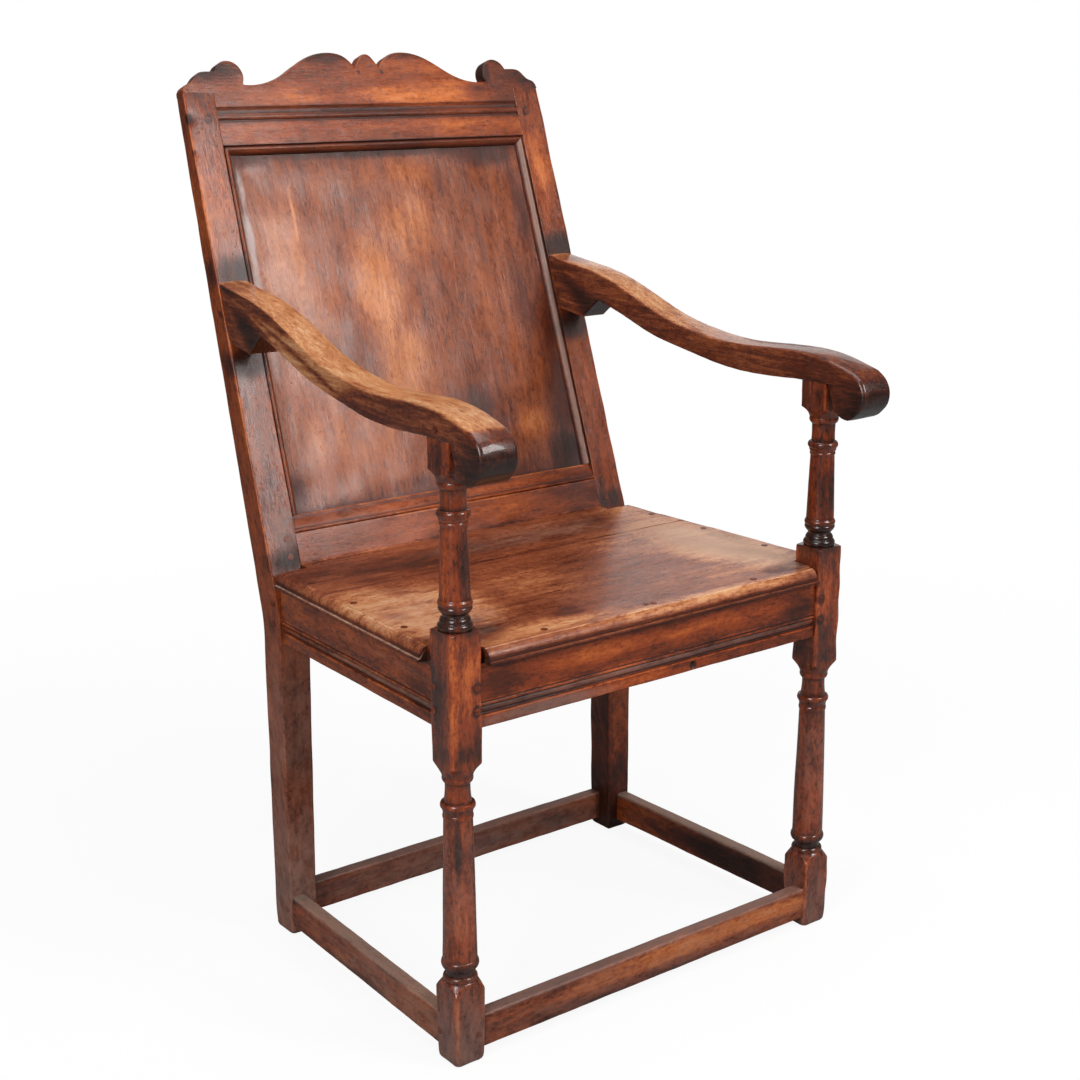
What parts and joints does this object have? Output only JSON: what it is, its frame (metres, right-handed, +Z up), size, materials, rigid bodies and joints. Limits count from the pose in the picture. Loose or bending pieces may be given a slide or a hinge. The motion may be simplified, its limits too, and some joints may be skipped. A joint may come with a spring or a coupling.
{
  "type": "wainscot chair",
  "caption": "Joined armchair with a raked panelled back, shaped crest, downswept arms on turned posts, boarded seat and box stretchers.",
  "frame": {"origin": "on the floor, under the middle of the whole chair's box", "axes": "+Z up, the chair faces -Y, +X to the right as seen from the front"},
  "size_m": [0.572, 0.6503, 1.0375],
  "materials": {
    "frame_oak": "waxed, satin, worn",
    "turned_oak": "waxed, satin, darker in the turnings",
    "panel_oak": "waxed, satin, worn paler in the middle",
    "arm_oak": "hand-polished, darker at the knobs",
    "seat_oak": "waxed, satin, worn golden",
    "peg_oak": "waxed end grain"
  },
  "bodies": {
    "root": {"front_post_left": "turned_oak", "front_post_right": "turned_oak", "rear_post_left": "frame_oak", "rear_post_right": "frame_oak", "seat_rail_front": "frame_oak", "seat_rail_rear": "frame_oak", "seat_rail_left": "frame_oak", "seat_rail_right": "frame_oak", "stretcher_front": "frame_oak", "stretcher_rear": "frame_oak", "stretcher_left": "frame_oak", "stretcher_right": "frame_oak", "crest_rail": "frame_oak", "lower_back_rail": "frame_oak", "back_panel": "panel_oak", "arm_left": "arm_oak", "arm_right": "arm_oak", "seat_board_front": "seat_oak", "seat_board_rear": "seat_oak", "pegs_seat_rail_front": "peg_oak", "pegs_seat_rail_rear": "peg_oak", "pegs_seat_rail_left": "peg_oak", "pegs_seat_rail_right": "peg_oak", "pegs_stretchers_cross": "peg_oak", "pegs_stretchers_side": "peg_oak", "pegs_crest_rail": "peg_oak", "pegs_lower_back_rail": "peg_oak", "pegs_arms": "peg_oak", "pegs_seat_boards": "peg_oak"}
  },
  "joints": []
}
